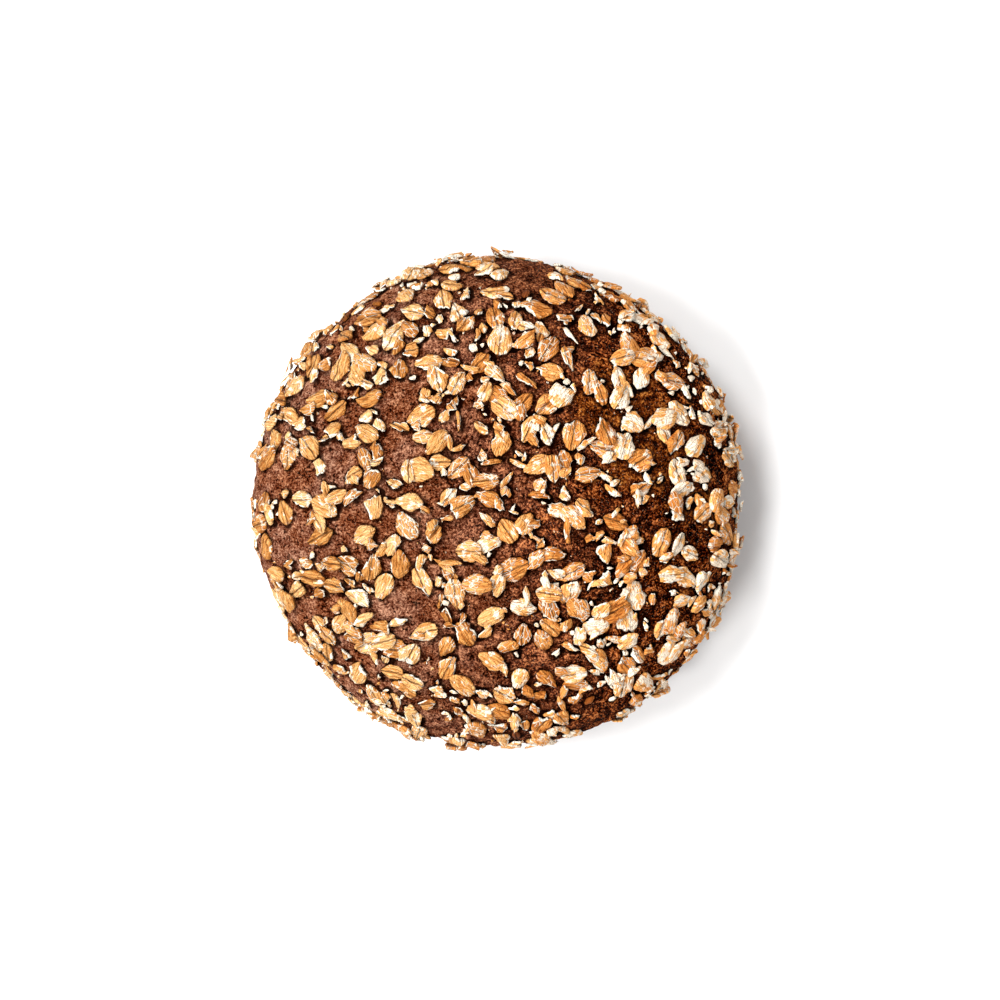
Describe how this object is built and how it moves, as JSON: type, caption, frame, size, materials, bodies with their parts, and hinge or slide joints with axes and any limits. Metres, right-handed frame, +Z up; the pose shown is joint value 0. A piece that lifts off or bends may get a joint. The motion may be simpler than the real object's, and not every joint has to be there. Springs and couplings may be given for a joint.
{
  "type": "spelt loaf",
  "caption": "Round dark-crusted spelt loaf with rolled grain flakes baked onto its domed top; free-standing on its flat underside.",
  "frame": {"origin": "middle of the loaf's box, at the flat underside that it stands on", "axes": "+Z up through the crown; +X and +Y are level, across the loaf"},
  "size_m": [0.1696, 0.1686, 0.0746],
  "materials": {
    "crust": "dark brown baked crust, dull, finely pitted",
    "grain_flake": "toasted rolled grain, dull, tan with pale starchy breaks"
  },
  "bodies": {
    "root": {"crown_flake_01": "grain_flake", "crown_flake_02": "grain_flake", "crown_flake_03": "grain_flake", "crown_flake_04": "grain_flake", "crown_flake_05": "grain_flake", "crown_flake_06": "grain_flake", "crown_flake_07": "grain_flake", "crown_flake_08": "grain_flake", "crown_flake_09": "grain_flake", "crown_flake_10": "grain_flake", "flank_flake_01": "grain_flake", "flank_flake_02": "grain_flake", "flank_flake_03": "grain_flake", "flank_flake_04": "grain_flake", "flank_flake_05": "grain_flake", "flank_flake_06": "grain_flake", "flank_flake_07": "grain_flake", "flank_flake_08": "grain_flake", "flank_flake_09": "grain_flake", "flank_flake_10": "grain_flake", "flank_flake_11": "grain_flake", "flank_flake_12": "grain_flake", "flank_flake_13": "grain_flake", "flank_flake_14": "grain_flake", "flank_flake_15": "grain_flake", "flank_flake_16": "grain_flake", "flank_flake_17": "grain_flake", "flank_flake_18": "grain_flake", "flank_flake_19": "grain_flake", "flank_flake_20": "grain_flake", "flank_flake_21": "grain_flake", "flank_flake_22": "grain_flake", "flank_flake_23": "grain_flake", "flank_flake_24": "grain_flake", "flank_flake_25": "grain_flake", "flank_flake_26": "grain_flake", "flank_flake_27": "grain_flake", "flank_flake_28": "grain_flake", "loaf": "crust", "shoulder_flake_01": "grain_flake", "shoulder_flake_02": "grain_flake", "shoulder_flake_03": "grain_flake", "shoulder_flake_04": "grain_flake", "shoulder_flake_05": "grain_flake", "shoulder_flake_06": "grain_flake", "shoulder_flake_07": "grain_flake", "shoulder_flake_08": "grain_flake", "shoulder_flake_09": "grain_flake", "shoulder_flake_10": "grain_flake", "shoulder_flake_11": "grain_flake", "shoulder_flake_12": "grain_flake", "shoulder_flake_13": "grain_flake", "shoulder_flake_14": "grain_flake", "shoulder_flake_15": "grain_flake", "shoulder_flake_16": "grain_flake", "shoulder_flake_17": "grain_flake", "shoulder_flake_18": "grain_flake", "shoulder_flake_19": "grain_flake"}
  },
  "joints": []
}
